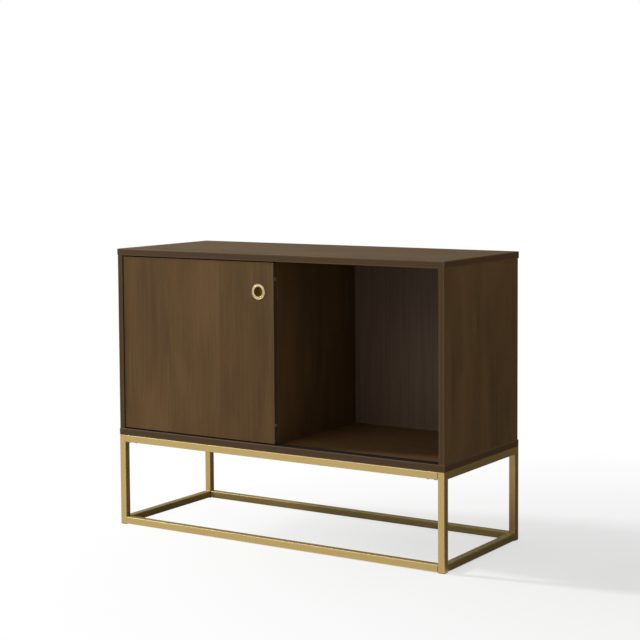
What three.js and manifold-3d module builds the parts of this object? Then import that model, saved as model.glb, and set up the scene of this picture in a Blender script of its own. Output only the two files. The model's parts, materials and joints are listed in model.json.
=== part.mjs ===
// A record cabinet: a stained wood box with two bays, one sliding door that covers one bay
// at a time, and an open base of square tube.
// Millimetres, +Z up, front towards -Y, origin on the floor under the middle of the cabinet.

import * as THREE from 'three';
import { mergeVertices } from 'three/addons/utils/BufferGeometryUtils.js';
import { RoundedBoxGeometry } from 'three/addons/geometries/RoundedBoxGeometry.js';
import Module from 'manifold-3d';

const wasm = await Module();
wasm.setup();

// Driving sizes

const cabinet = { width: 1016, depth: 406.4, height: 762 };

// Top and bottom panels, which cap the sides
const slab = { thickness: 18, ease: 1.5 };

// Sides stand a little inside the slabs' ends and front edges
const side = { thickness: 15, endReveal: 1.5, frontReveal: 0.8, ease: 0.8 };

const divider = { thickness: 15, ease: 0.8 };

// Thin board over the rear edges of the sides and the divider
const back = { thickness: 3, inset: 3, ease: 0.3 };

// The base, up to the underside of the box, and the square tube that it is made of
const base = { height: 249, seam: 0.4 };
const tube = { size: 19.05, wall: 1.2, corner: 2 };
const sleeve = { length: 45, wall: 1.5 };
const foot = { flange: 1.6, flangeInset: 0.4, plugLength: 10 };

// Bolts under the ends of the upper long rails. The clamp bolt holds the rail on its sleeve,
// the panel bolt goes on up into the bottom panel. Both are placed from the leg's inner face.
const bolt = {
  shankRadius: 2.5,
  headRadius: 4,
  headHeight: 2.4,
  headBevel: 0.9,
  socketRadius: 1.7,
  socketDepth: 1.4,
  clampInset: 11,
  panelInset: 31.5,
  clampLength: 8,
  panelBite: 12,
};

// Lap is how far the door reaches past the divider's face
const door = {
  thickness: 16,
  recess: 3,
  endGap: 3,
  topGap: 3,
  bottomGap: 4,
  rearGap: 3.5,
  lap: 0.5,
  ease: 0.8,
};

// Round flush pull, placed from the door's leading edge and top edge
const cup = {
  fromEdge: 46.8,
  fromTop: 77,
  flangeRadius: 20.5,
  flangeRise: 1.2,
  flangeBevel: 0.6,
  boreRadius: 13.25,
  beadRise: 0.5,
  grooveDepth: 0.5,
  depth: 12,
  wall: 1,
  floorCorner: 1.5,
};

// Where the pull's groove and bead lie, as shares of the way from the bore to the flange's rim
const cupShares = { beadTop: 0.3, beadFoot: 0.56, grooveFloor: 0.64, grooveRim: 0.72 };

const bumper = { radius: 5, height: 2.2, fromTop: 42, fromBottom: 48, brow: 0.6 };

// Wheels in the door's lower edge
const wheel = { radius: 8, width: 5, chamfer: 0.5, sideGap: 0.5, rollGap: 0.2 };
const axle = { radius: 1.5 };
const roller = { inset: 70, length: 36, cheek: 2.5, height: 19, wheelGap: 1 };

// Sprung pins in the door's upper edge
const guide = {
  inset: 45,
  length: 24,
  floor: 1,
  collar: 2,
  wall: 1.2,
  pinRadius: 2.75,
  pinNose: 0.8,
  rise: 7.5,
  travel: 8,
  shoulderRadius: 3.8,
  shoulderHeight: 1.6,
  tailRadius: 1.4,
};
const spring = { wireRadius: 0.35, coilRadius: 3, turns: 6.5 };

// Upper track, a channel let into the top panel
const channel = { wall: 1.2, height: 7.5, pinGap: 0.6 };

// Lower track, a ribbed strip on the bottom panel
const strip = { width: 20, base: 1, lipHeight: 2.2, lipWidth: 1.2, ribHeight: 1.8, ribWidth: 1 };

// Seat is left between pieces that bear on each other, slip round one that goes over another
// by hand, loose round one let into a larger hole, and running between a bore and its axle.
// Overrun is how far a cut starts outside the piece that it cuts.
const gap = { seat: 0.1, slip: 0.15, loose: 0.3, running: 0.08 };
const overrun = 5;

// Facets on round and eased forms
const easeSteps = 1;
const cornerSteps = 1;
const roundSides = 28;
const cupSides = 36;
const smallSides = 12;
const hexSides = 6;
const wireSides = 3;
const coilSteps = 8;

const quarter = Math.PI / 2;

// Finishes

const finish = {
  stainedWood: { color: 0x5f4b36, roughness: 0.5, metalness: 0 },
  hardboard: { color: 0x4a382a, roughness: 0.8, metalness: 0 },
  brassPaint: { color: 0xb89a5c, roughness: 0.4, metalness: 0.6 },
  brass: { color: 0xd8c088, roughness: 0.3, metalness: 0.9 },
  blackSteel: { color: 0x2a2826, roughness: 0.45, metalness: 0.8 },
  steel: { color: 0xb4b4b2, roughness: 0.35, metalness: 0.9 },
  blackNylon: { color: 0x211f1e, roughness: 0.5, metalness: 0 },
  silicone: { color: 0xd6d2c8, roughness: 0.35, metalness: 0 },
  trackPlastic: { color: 0x3b3c38, roughness: 0.45, metalness: 0 },
  footPlastic: { color: 0x8a7446, roughness: 0.6, metalness: 0 },
};

// Shapes

function block(width, depth, height) {
  return new THREE.BoxGeometry(width, depth, height);
}

function easedPanel(size, ease) {
  return new RoundedBoxGeometry(size.x, size.y, size.z, easeSteps, ease);
}

// A rod along Z
function rod(radius, length, sides = smallSides) {
  return new THREE.CylinderGeometry(radius, radius, length, sides).rotateX(quarter);
}

// A form turned about Z, from points of radius and height
function turned(points, sides) {
  const profile = points.map(([radius, height]) => new THREE.Vector2(radius, height));
  return new THREE.LatheGeometry(profile, sides).rotateX(quarter);
}

// Corner radius of a faceted bore whose flats clear a round piece by the given gap
function boreRadius(radius, clearance, sides = smallSides) {
  return (radius + clearance) / Math.cos(Math.PI / sides);
}

function squareOutline(outline, size, corner) {
  const flat = size / 2 - corner;
  outline.absarc(flat, flat, corner, 0, quarter);
  outline.absarc(-flat, flat, corner, quarter, 2 * quarter);
  outline.absarc(-flat, -flat, corner, 2 * quarter, 3 * quarter);
  outline.absarc(flat, -flat, corner, 3 * quarter, 4 * quarter);
  outline.closePath();
  return outline;
}

// A form extruded along Z, centred on its middle
function extruded(outline, length, curveSegments) {
  const options = { depth: length, bevelEnabled: false, curveSegments };
  return new THREE.ExtrudeGeometry(outline, options).translate(0, 0, -length / 2);
}

function squareBar(size, corner, length) {
  return extruded(squareOutline(new THREE.Shape(), size, corner), length, cornerSteps);
}

function squareTube(size, wall, corner, length) {
  const outline = squareOutline(new THREE.Shape(), size, corner);
  outline.holes.push(squareOutline(new THREE.Path(), size - 2 * wall, corner - wall));
  return extruded(outline, length, cornerSteps);
}

// Joins and cuts

function solidOf(geometry) {
  const bare = geometry.clone();
  bare.deleteAttribute('normal');
  bare.deleteAttribute('uv');
  const merged = mergeVertices(bare);
  return new wasm.Manifold(new wasm.Mesh({
    numProp: 3,
    vertProperties: merged.attributes.position.array,
    triVerts: Uint32Array.from(merged.index.array),
  }));
}

function geometryOf(solid) {
  const mesh = solid.getMesh();
  const geometry = new THREE.BufferGeometry();
  geometry.setAttribute('position', new THREE.BufferAttribute(mesh.vertProperties, 3));
  geometry.setIndex(new THREE.BufferAttribute(mesh.triVerts, 1));
  geometry.computeVertexNormals();
  return geometry;
}

function joined(first, second) {
  return geometryOf(solidOf(first).add(solidOf(second)));
}

function carved(geometry, cuts) {
  const whole = solidOf(geometry);
  return geometryOf(cuts.reduce((solid, cut) => solid.subtract(solidOf(cut)), whole));
}

// Adds one piece to a group. Cuts are given in the group's frame.
function addPiece(group, name, look, geometry, place, { turn = [0, 0, 0], cuts = [] } = {}) {
  const local = cuts.map((cut) => cut.translate(-place[0], -place[1], -place[2]));
  const shape = cuts.length ? carved(geometry, local) : geometry;
  const mesh = new THREE.Mesh(shape, new THREE.MeshStandardMaterial(look));
  mesh.name = name;
  mesh.position.set(...place);
  mesh.rotation.set(...turn);
  group.add(mesh);
}

// Adds an eased panel that fills the space between two corners
function addPanel(group, name, look, low, high, ease, cuts = []) {
  const corner = new THREE.Vector3(...low);
  const size = new THREE.Vector3(...high).sub(corner);
  const middle = corner.addScaledVector(size, 1 / 2);
  addPiece(group, name, look, easedPanel(size, ease), middle.toArray(), { cuts });
}

const ends = { left: -1, right: 1 };
const faces = { front: -1, rear: 1 };

// Places that several pieces share

const endX = cabinet.width / 2;
const frontY = -cabinet.depth / 2;
const rearY = cabinet.depth / 2;
const bayFloorZ = base.height + slab.thickness;
const bayCeilingZ = cabinet.height - slab.thickness;
const sideOuterX = endX - side.endReveal;
const bayEndX = sideOuterX - side.thickness;
const backFaceY = rearY - back.thickness;

const doorMidY = frontY + door.recess + door.thickness / 2;
const doorLeftX = -(bayEndX - door.endGap);
const doorRightX = divider.thickness / 2 + door.lap;
const doorBottomZ = bayFloorZ + door.bottomGap;
const doorWidth = doorRightX - doorLeftX;
const doorHeight = bayCeilingZ - door.topGap - doorBottomZ;

const stripBottomZ = bayFloorZ + gap.seat;
const wheelLane = wheel.width + 2 * wheel.sideGap;
const channelInner = 2 * (guide.pinRadius + channel.pinGap);
const channelOuter = channelInner + 2 * channel.wall;
const trackLength = 2 * (bayEndX - gap.loose);

const legX = endX - tube.size / 2;
const legY = rearY - tube.size / 2;
const legInnerX = legX - tube.size / 2;
const legInnerY = legY - tube.size / 2;
const legBottomZ = foot.flange + gap.seat;
const legTopZ = base.height - gap.seat;
const railZ = {
  upper: legTopZ - tube.size / 2,
  lower: legBottomZ + tube.size / 2,
};
const railUndersideZ = railZ.upper - tube.size / 2;
const clampBoltX = legInnerX - bolt.clampInset;
const panelBoltX = legInnerX - bolt.panelInset;
const tubeBore = tube.size - 2 * tube.wall;
const tubeBoreCorner = tube.corner - tube.wall;

// Bolt holes, as upright cuts that start below the rail

function boltHole(x, y, topZ) {
  const bottomZ = railUndersideZ - overrun;
  const cut = rod(boreRadius(bolt.shankRadius, gap.loose), topZ - bottomZ);
  return cut.translate(x, y, (topZ + bottomZ) / 2);
}

function clampHole(x, y) {
  return boltHole(x, y, railZ.upper);
}

function panelHole(x, y) {
  return boltHole(x, y, base.height + bolt.panelBite + gap.loose);
}

// Cabinet body

const body = new THREE.Group();

function addSlabs() {
  const grooveWidth = channelOuter + 2 * gap.slip;
  const grooveHeight = channel.height + gap.slip + overrun;
  const groove = block(trackLength + 2 * gap.slip, grooveWidth, grooveHeight);
  groove.translate(0, doorMidY, bayCeilingZ - overrun + grooveHeight / 2);
  addPanel(
    body, 'top_panel', finish.stainedWood,
    [-endX, frontY, bayCeilingZ], [endX, rearY, cabinet.height], slab.ease, [groove],
  );

  const holes = Object.values(ends).flatMap((end) =>
    Object.values(faces).map((face) => panelHole(end * panelBoltX, face * legY)));
  addPanel(
    body, 'bottom_panel', finish.stainedWood,
    [-endX, frontY, base.height], [endX, rearY, bayFloorZ], slab.ease, holes,
  );
}

function addUprights() {
  const bottomZ = bayFloorZ + gap.seat;
  const topZ = bayCeilingZ - gap.seat;
  const rearEdgeY = backFaceY - gap.seat;
  const sideFrontY = frontY + side.frontReveal;
  addPanel(
    body, 'left_side_panel', finish.stainedWood,
    [-sideOuterX, sideFrontY, bottomZ], [-bayEndX, rearEdgeY, topZ], side.ease,
  );
  addPanel(
    body, 'right_side_panel', finish.stainedWood,
    [bayEndX, sideFrontY, bottomZ], [sideOuterX, rearEdgeY, topZ], side.ease,
  );

  const dividerX = divider.thickness / 2;
  const dividerFrontY = doorMidY + door.thickness / 2 + door.rearGap;
  addPanel(
    body, 'center_divider', finish.stainedWood,
    [-dividerX, dividerFrontY, bottomZ], [dividerX, rearEdgeY, topZ], divider.ease,
  );

  const backX = sideOuterX - back.inset;
  addPanel(
    body, 'back_panel', finish.hardboard,
    [-backX, backFaceY, bayFloorZ + gap.loose], [backX, rearY, bayCeilingZ - gap.loose], back.ease,
  );
}

// Section of the upper track across the cabinet, open downwards, with its foot at zero
function channelOutline() {
  const inner = channelInner / 2;
  const outer = channelOuter / 2;
  const ceiling = channel.height - channel.wall;
  return new THREE.Shape([
    new THREE.Vector2(-outer, 0),
    new THREE.Vector2(-inner, 0),
    new THREE.Vector2(-inner, ceiling),
    new THREE.Vector2(inner, ceiling),
    new THREE.Vector2(inner, 0),
    new THREE.Vector2(outer, 0),
    new THREE.Vector2(outer, channel.height),
    new THREE.Vector2(-outer, channel.height),
  ]);
}

// Section of the lower track: a flat base, a lip along each edge and two ribs beside the wheels
function stripOutline() {
  const edge = strip.width / 2;
  const lip = edge - strip.lipWidth;
  const lane = wheelLane / 2;
  const rib = lane + strip.ribWidth;
  const rightHalf = [
    [lane, strip.base],
    [lane, strip.ribHeight],
    [rib, strip.ribHeight],
    [rib, strip.base],
    [lip, strip.base],
    [lip, strip.lipHeight],
    [edge, strip.lipHeight],
    [edge, 0],
  ];
  const leftHalf = rightHalf.map(([across, height]) => [-across, height]).reverse();
  return new THREE.Shape([...leftHalf, ...rightHalf].map(([across, height]) =>
    new THREE.Vector2(across, height)));
}

// A track's section lies in X and Y of its outline, so the first turn stands it up along Z
// and the second runs it along X
function addTracks() {
  const alongX = (outline) => extruded(outline, trackLength).rotateX(quarter).rotateZ(quarter);
  addPiece(
    body, 'top_track', finish.trackPlastic, alongX(channelOutline()), [0, doorMidY, bayCeilingZ],
  );
  addPiece(
    body, 'bottom_track', finish.trackPlastic, alongX(stripOutline()), [0, doorMidY, stripBottomZ],
  );
}

// Sliding door, in a frame at the middle of its lower edge

const slidingDoor = new THREE.Group();
slidingDoor.position.set((doorLeftX + doorRightX) / 2, doorMidY, doorBottomZ);

const doorEndX = doorWidth / 2;
const cupX = doorEndX - cup.fromEdge;
const cupZ = doorHeight - cup.fromTop;
const cupBodyRadius = cup.boreRadius + cup.wall;
const cupHoleDepth = cup.depth + cup.wall + gap.loose;
const rollerX = doorEndX - roller.inset;
const rollerWidth = wheelLane + 2 * roller.cheek;
const wheelZ = stripBottomZ + strip.base + wheel.rollGap + wheel.radius - doorBottomZ;
const guideX = doorEndX - guide.inset;
const guideBoreRadius = guide.shoulderRadius + gap.loose;
const guideOuterRadius = guideBoreRadius + guide.wall;

function doorCuts() {
  const hole = rod(boreRadius(cupBodyRadius, gap.loose, cupSides), cupHoleDepth + overrun, cupSides);
  hole.rotateX(quarter);
  hole.translate(cupX, -door.thickness / 2 + (cupHoleDepth - overrun) / 2, cupZ);

  const mortiseHeight = roller.height + gap.loose + overrun;
  const mortises = Object.values(ends).map((end) =>
    block(roller.length + 2 * gap.loose, rollerWidth + 2 * gap.loose, mortiseHeight)
      .translate(end * rollerX, 0, mortiseHeight / 2 - overrun));

  const boreLength = guide.length + gap.loose + overrun;
  const bores = Object.values(ends).map((end) =>
    rod(boreRadius(guideOuterRadius, gap.loose), boreLength)
      .translate(end * guideX, 0, doorHeight + overrun - boreLength / 2));

  return [hole, ...mortises, ...bores];
}

function addDoorPanel() {
  addPanel(
    slidingDoor, 'door_panel', finish.stainedWood,
    [-doorEndX, -door.thickness / 2, 0], [doorEndX, door.thickness / 2, doorHeight],
    door.ease, doorCuts(),
  );
}

// The pull's profile runs from the middle of its back, round the flange and down to its floor.
// Heights are outwards from the door's face.
function addFingerCup() {
  const across = (share) => cup.boreRadius + share * (cup.flangeRadius - cup.boreRadius);
  const beadTop = cup.flangeRise + cup.beadRise;
  const profile = [
    [0, -cup.depth - cup.wall],
    [cupBodyRadius, -cup.depth - cup.wall],
    [cupBodyRadius, gap.seat],
    [cup.flangeRadius, gap.seat],
    [cup.flangeRadius, cup.flangeRise - cup.flangeBevel],
    [cup.flangeRadius - cup.flangeBevel, cup.flangeRise],
    [across(cupShares.grooveRim), cup.flangeRise],
    [across(cupShares.grooveFloor), cup.flangeRise - cup.grooveDepth],
    [across(cupShares.beadFoot), cup.flangeRise],
    [across(cupShares.beadTop), beadTop],
    [cup.boreRadius, cup.flangeRise],
    [cup.boreRadius, cup.floorCorner - cup.depth],
    [cup.boreRadius - cup.floorCorner, -cup.depth],
    [0, -cup.depth],
  ];
  addPiece(
    slidingDoor, 'finger_cup', finish.brass, turned(profile, cupSides),
    [cupX, -door.thickness / 2, cupZ], { turn: [quarter, 0, 0] },
  );
}

function addBumpers() {
  const profile = [
    [0, 0],
    [bumper.radius, 0],
    [bumper.radius, bumper.height - bumper.brow],
    [bumper.radius - bumper.brow, bumper.height],
    [0, bumper.height],
  ];
  const levels = { lower: bumper.fromBottom, upper: doorHeight - bumper.fromTop };
  for (const [endName, end] of Object.entries(ends)) {
    for (const [levelName, z] of Object.entries(levels)) {
      addPiece(
        slidingDoor, `door_bumper_${endName}_${levelName}`, finish.silicone,
        turned(profile, smallSides), [end * (doorEndX + gap.seat), 0, z],
        { turn: [0, end * quarter, 0] },
      );
    }
  }
}

// The wheel's section is a ring that closes on itself
function wheelForm() {
  const bore = boreRadius(axle.radius, gap.running);
  const half = wheel.width / 2;
  const crown = half - wheel.chamfer;
  const profile = [
    [bore, -half],
    [wheel.radius - wheel.chamfer, -half],
    [wheel.radius, -crown],
    [wheel.radius, crown],
    [wheel.radius - wheel.chamfer, half],
    [bore, half],
    [bore, -half],
  ];
  return turned(profile, roundSides).rotateX(quarter);
}

function addRollers() {
  const slotHeight = wheelZ + wheel.radius + roller.wheelGap + overrun;
  for (const [endName, end] of Object.entries(ends)) {
    const x = end * rollerX;
    const slot = block(2 * (wheel.radius + roller.wheelGap), wheelLane, slotHeight);
    slot.translate(x, 0, slotHeight / 2 - overrun);
    const axleHole = rod(boreRadius(axle.radius, gap.running), rollerWidth + 2 * overrun);
    axleHole.rotateX(quarter).translate(x, 0, wheelZ);
    addPiece(
      slidingDoor, `roller_housing_${endName}`, finish.blackNylon,
      block(roller.length, rollerWidth, roller.height), [x, 0, roller.height / 2],
      { cuts: [slot, axleHole] },
    );
    addPiece(
      slidingDoor, `roller_axle_${endName}`, finish.steel,
      rod(axle.radius, rollerWidth), [x, 0, wheelZ], { turn: [quarter, 0, 0] },
    );
    addPiece(slidingDoor, `roller_wheel_${endName}`, finish.blackNylon, wheelForm(), [x, 0, wheelZ]);
  }
}

// Sprung guides. Heights are from the door's upper edge.

const shoulderTop = -guide.collar - gap.loose;
const shoulderFoot = shoulderTop - guide.shoulderHeight;
const guideFloor = guide.floor - guide.length;

// The tail ends just above the housing's floor when the pin is pressed all the way down
const tailFoot = guideFloor + guide.travel + gap.loose;

function guideHousingForm() {
  const mouth = boreRadius(guide.pinRadius, gap.slip);
  return turned([
    [0, -guide.length],
    [guideOuterRadius, -guide.length],
    [guideOuterRadius, 0],
    [mouth, 0],
    [mouth, -guide.collar],
    [guideBoreRadius, -guide.collar],
    [guideBoreRadius, guideFloor],
    [0, guideFloor],
  ], smallSides);
}

function guidePinForm() {
  return turned([
    [0, tailFoot],
    [guide.tailRadius, tailFoot],
    [guide.tailRadius, shoulderFoot],
    [guide.shoulderRadius, shoulderFoot],
    [guide.shoulderRadius, shoulderTop],
    [guide.pinRadius, shoulderTop],
    [guide.pinRadius, guide.rise - guide.pinNose],
    [guide.pinRadius - guide.pinNose, guide.rise],
    [0, guide.rise],
  ], smallSides);
}

// The centre line of a coil spring that climbs at a steady rate
class Coil extends THREE.Curve {
  constructor(radius, turns, lowZ, highZ) {
    super();
    Object.assign(this, { radius, turns, lowZ, highZ });
  }

  getPoint(share) {
    const angle = 4 * quarter * this.turns * share;
    const z = this.lowZ + (this.highZ - this.lowZ) * share;
    return new THREE.Vector3(this.radius * Math.cos(angle), this.radius * Math.sin(angle), z);
  }
}

function springForm() {
  const endGap = spring.wireRadius + gap.seat;
  const path = new Coil(spring.coilRadius, spring.turns, guideFloor + endGap, shoulderFoot - endGap);
  const wire = new THREE.Shape().absarc(0, 0, spring.wireRadius, 0, 4 * quarter);
  const steps = Math.round(spring.turns * coilSteps);
  return new THREE.ExtrudeGeometry(wire, { steps, curveSegments: wireSides, extrudePath: path });
}

function addGuides() {
  for (const [endName, end] of Object.entries(ends)) {
    const place = [end * guideX, 0, doorHeight];
    addPiece(slidingDoor, `guide_housing_${endName}`, finish.blackNylon, guideHousingForm(), place);
    addPiece(slidingDoor, `guide_pin_${endName}`, finish.blackSteel, guidePinForm(), place);
    addPiece(slidingDoor, `guide_spring_${endName}`, finish.steel, springForm(), place);
  }
}

// Base of square tube

const frame = new THREE.Group();

function addLegs() {
  const length = legTopZ - legBottomZ;
  const plugSize = tubeBore - 2 * gap.slip;
  const flangeSize = tube.size - 2 * foot.flangeInset;
  for (const [faceName, face] of Object.entries(faces)) {
    for (const [endName, end] of Object.entries(ends)) {
      addPiece(
        frame, `leg_${faceName}_${endName}`, finish.brassPaint,
        squareTube(tube.size, tube.wall, tube.corner, length),
        [end * legX, face * legY, (legTopZ + legBottomZ) / 2],
      );
      const flange = squareBar(flangeSize, tube.corner, foot.flange);
      const plug = squareBar(plugSize, tubeBoreCorner, foot.flange + foot.plugLength);
      plug.translate(0, 0, foot.plugLength / 2);
      addPiece(
        frame, `foot_cap_${faceName}_${endName}`, finish.footPlastic,
        joined(flange, plug), [end * legX, face * legY, foot.flange / 2],
      );
    }
  }
}

function addSideRails() {
  const length = 2 * (legInnerY - gap.seat);
  for (const [endName, end] of Object.entries(ends)) {
    for (const [levelName, z] of Object.entries(railZ)) {
      addPiece(
        frame, `side_rail_${endName}_${levelName}`, finish.brassPaint,
        squareTube(tube.size, tube.wall, tube.corner, length),
        [end * legX, 0, z], { turn: [quarter, 0, 0] },
      );
    }
  }
}

// Holes in the upper rail and its sleeves at one end
function railHoles(end, y) {
  return [clampHole(end * clampBoltX, y), panelHole(end * panelBoltX, y)];
}

function addLongRails() {
  const railLength = 2 * (legInnerX - base.seam);
  const sleeveSize = tubeBore - 2 * gap.slip;
  const sleeveX = legInnerX - gap.seat - sleeve.length / 2;
  for (const [faceName, face] of Object.entries(faces)) {
    const y = face * legY;
    for (const [levelName, z] of Object.entries(railZ)) {
      const holesAt = (end) => (levelName === 'upper' ? railHoles(end, y) : []);
      addPiece(
        frame, `long_rail_${faceName}_${levelName}`, finish.brassPaint,
        squareTube(tube.size, tube.wall, tube.corner, railLength).rotateY(quarter),
        [0, y, z], { cuts: Object.values(ends).flatMap(holesAt) },
      );
      for (const [endName, end] of Object.entries(ends)) {
        addPiece(
          frame, `rail_sleeve_${faceName}_${endName}_${levelName}`, finish.blackSteel,
          squareTube(sleeveSize, sleeve.wall, tubeBoreCorner + sleeve.wall, sleeve.length)
            .rotateY(quarter),
          [end * sleeveX, y, z], { cuts: holesAt(end) },
        );
      }
    }
  }
}

// A bolt that points up, with its head's bearing face at zero
function boltForm(length) {
  const lowRadius = bolt.headRadius - bolt.headBevel;
  const head = new THREE.CylinderGeometry(bolt.headRadius, lowRadius, bolt.headHeight, smallSides);
  head.rotateX(quarter).translate(0, 0, -bolt.headHeight / 2);
  const shankLength = length + bolt.headHeight / 2;
  const shank = rod(bolt.shankRadius, shankLength);
  shank.translate(0, 0, length - shankLength / 2);
  const socket = rod(bolt.socketRadius, bolt.socketDepth + overrun, hexSides);
  socket.translate(0, 0, bolt.socketDepth - bolt.headHeight - (bolt.socketDepth + overrun) / 2);
  return carved(joined(head, shank), [socket]);
}

function addBolts() {
  const bearingZ = railUndersideZ - gap.seat;
  const kinds = {
    clamp: { x: clampBoltX, length: bolt.clampLength },
    panel: { x: panelBoltX, length: base.height + bolt.panelBite - bearingZ },
  };
  for (const [faceName, face] of Object.entries(faces)) {
    for (const [endName, end] of Object.entries(ends)) {
      for (const [kindName, kind] of Object.entries(kinds)) {
        addPiece(
          frame, `${kindName}_bolt_${faceName}_${endName}`, finish.blackSteel,
          boltForm(kind.length), [end * kind.x, face * legY, bearingZ],
        );
      }
    }
  }
}

// Assembly

addSlabs();
addUprights();
addTracks();
addDoorPanel();
addFingerCup();
addBumpers();
addRollers();
addGuides();
addLegs();
addSideRails();
addLongRails();
addBolts();

const recordCabinet = new THREE.Group();
recordCabinet.add(body, slidingDoor, frame);

export default recordCabinet;
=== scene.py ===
"""Looks of the record cabinet: a stained wood box with a sliding door on a base of square tube.

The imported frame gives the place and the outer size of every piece. Each operator makes one piece,
or a group of like pieces, as closed surfaces worked out with numpy. All is in metres, in the frame
of the part: +X right, +Y to the back, +Z up, front towards -Y.
"""

import json
import math
from collections import namedtuple

import bmesh
import bpy
import numpy as np
from bpy.props import FloatProperty, FloatVectorProperty, PointerProperty
from mathutils import Matrix, Vector

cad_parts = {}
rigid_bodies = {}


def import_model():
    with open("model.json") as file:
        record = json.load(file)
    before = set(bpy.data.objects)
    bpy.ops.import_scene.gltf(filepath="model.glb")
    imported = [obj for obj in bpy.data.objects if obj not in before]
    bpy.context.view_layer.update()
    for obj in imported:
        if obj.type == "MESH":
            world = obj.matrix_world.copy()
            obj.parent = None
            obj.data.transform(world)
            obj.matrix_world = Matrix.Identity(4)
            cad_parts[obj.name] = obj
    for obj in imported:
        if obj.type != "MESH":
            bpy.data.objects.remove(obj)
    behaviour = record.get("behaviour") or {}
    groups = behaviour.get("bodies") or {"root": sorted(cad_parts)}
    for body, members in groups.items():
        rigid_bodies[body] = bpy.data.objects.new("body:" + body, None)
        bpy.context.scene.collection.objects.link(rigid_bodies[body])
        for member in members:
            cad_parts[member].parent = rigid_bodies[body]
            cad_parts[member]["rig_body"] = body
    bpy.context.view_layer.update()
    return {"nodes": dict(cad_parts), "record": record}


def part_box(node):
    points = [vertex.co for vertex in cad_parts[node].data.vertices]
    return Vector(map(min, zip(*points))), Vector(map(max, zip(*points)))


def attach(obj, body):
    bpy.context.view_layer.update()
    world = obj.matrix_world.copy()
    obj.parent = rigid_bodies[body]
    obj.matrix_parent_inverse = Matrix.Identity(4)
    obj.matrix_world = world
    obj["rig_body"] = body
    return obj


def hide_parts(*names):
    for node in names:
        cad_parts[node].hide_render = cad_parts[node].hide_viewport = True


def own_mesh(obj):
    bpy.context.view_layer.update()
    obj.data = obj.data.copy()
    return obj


bl_info = {
    "name": "Record Cabinet",
    "version": (1, 0, 0),
    "blender": (4, 5, 0),
    "location": "3D View > Sidebar > Record Cabinet",
    "description": "Dresses the packed record cabinet in stained veneer, brass paint and fittings",
    "category": "Object",
}

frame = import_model()

BODY_OF = {node: thing["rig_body"] for node, thing in frame["nodes"].items()}
SLOT_OF = {row["node"]: row["material_slot"] for row in frame["record"]["subparts"]}

MM = 0.001
TURN = 2 * math.pi
QUARTER = math.pi / 2

ENDS = {"left": -1, "right": 1}
LEVELS = {"lower": -1, "upper": 1}
FACES = ("front", "rear")
BASE_CORNERS = [f"{face}_{end}" for face in FACES for end in ENDS]
BOLTS = ("clamp", "panel")
X_AXIS, Y_AXIS, Z_AXIS = np.eye(3)

# Counts of facets round small edges and tube corners, and round turned pieces by their size
EASE_STEPS = 4
CORNER_STEPS = 6
FILLET_STEPS = 4
SMALL_COLUMNS = 36
ROUND_COLUMNS = 60
CUP_COLUMNS = 120
WIRE_COLUMNS = 12
COIL_STEPS = 30
THREAD_STEPS = 6

# Faces that meet at more than this angle keep a sharp edge between them
SHARP_ANGLE = math.radians(35)

# Points nearer than this are one point
WELD = 0.0001 * MM

# How far past a piece a cut runs, and how far it keeps clear of what the hole or recess holds
OVERRUN = 2 * MM
LOOSE = 0.3 * MM
SLIP = 0.15 * MM


# Properties that a user may change


def linear(hex_colour):
    """Linear red, green and blue of an sRGB hex colour."""
    srgb = np.array([int(hex_colour[at : at + 2], 16) for at in (1, 3, 5)]) / 255
    light = np.where(srgb <= 0.04045, srgb / 12.92, ((srgb + 0.055) / 1.055) ** 2.4)
    return tuple(light.tolist())


def length(name, description, millimetres):
    """Length property, given in millimetres and held in metres."""
    size = millimetres * MM
    return FloatProperty(
        name=name, description=description, default=size, min=0, unit="LENGTH", precision=5
    )


def amount(name, description, default, unit="NONE"):
    """Property for how strong a light is."""
    return FloatProperty(name=name, description=description, default=default, min=0, unit=unit)


def colour(name, description, hex_colour):
    """Colour property, given as sRGB hex and held as linear."""
    light = linear(hex_colour)
    return FloatVectorProperty(
        name=name, description=description, default=light, min=0, max=1, subtype="COLOR"
    )


class CabinetSizes(bpy.types.PropertyGroup):
    """Sizes that the boxes of the frame's nodes don't give"""

    slab_ease: length("Slab edge", "Radius of the edges of the top and bottom panels", 1.5)
    board_ease: length("Board edge", "Radius of the edges of the sides, divider and door", 0.8)
    back_ease: length("Back edge", "Radius of the edges of the back board", 0.3)
    rubbed_band: length("Rubbed band", "How far handling marks reach in from an edge", 1.6)
    tube_wall: length("Tube wall", "Wall of the square tube", 1.2)
    tube_corner: length("Tube corner", "Outer corner radius of the square tube", 2)
    sleeve_wall: length("Sleeve wall", "Wall of the sleeves inside the long rails", 1.5)
    weld_fillet: length("Weld fillet", "Radius of the weld between a side rail and a leg", 1.4)
    cup_bore: length("Pull bore", "Radius of the finger pull's bore", 13.25)
    cup_wall: length("Pull wall", "Wall of the finger pull", 1)
    shank_radius: length("Bolt radius", "Radius of the bolts over their threads", 2.5)
    thread_pitch: length("Thread pitch", "Rise of the bolts' threads in one turn", 0.8)
    spring_wire: length("Spring wire", "Radius of the wire of the guides' springs", 0.35)


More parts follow.
